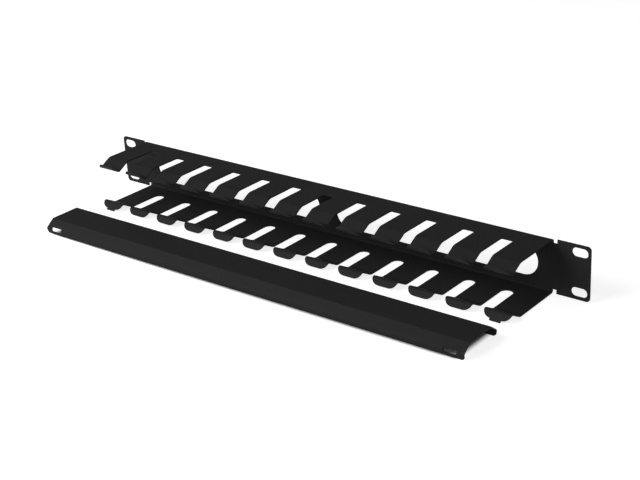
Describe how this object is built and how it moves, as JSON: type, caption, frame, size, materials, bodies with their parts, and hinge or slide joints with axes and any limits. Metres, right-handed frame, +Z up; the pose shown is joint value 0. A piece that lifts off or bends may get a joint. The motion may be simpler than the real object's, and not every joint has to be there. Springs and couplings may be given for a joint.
{
  "type": "horizontal cable manager",
  "caption": "Rack-width folded steel duct with slotted ears, long openings in its back plate and two rows of lipped fingers, and its loose push-on cover.",
  "frame": {"origin": "middle of the bracket's back face, where its ears meet the rack's posts, at half its height and width", "axes": "+X along the rack's width, to the right as seen from the front; +Y from the front to the back, square to the back face; +Z up, away from the surface that the lower flange stands on"},
  "size_m": [0.4826, 0.1273, 0.044],
  "materials": {
    "bracket_coat": "fine matt black powder coat",
    "cover_coat": "fine matt black powder coat"
  },
  "bodies": {
    "bracket": {"bracket": "bracket_coat"},
    "cover": {"cover": "cover_coat"}
  },
  "joints": [
    {"name": "cover_lift", "type": "slide", "parent": "bracket", "child": "cover", "axis": [0, 0, 1], "range_m": [0, 0.06]}
  ]
}
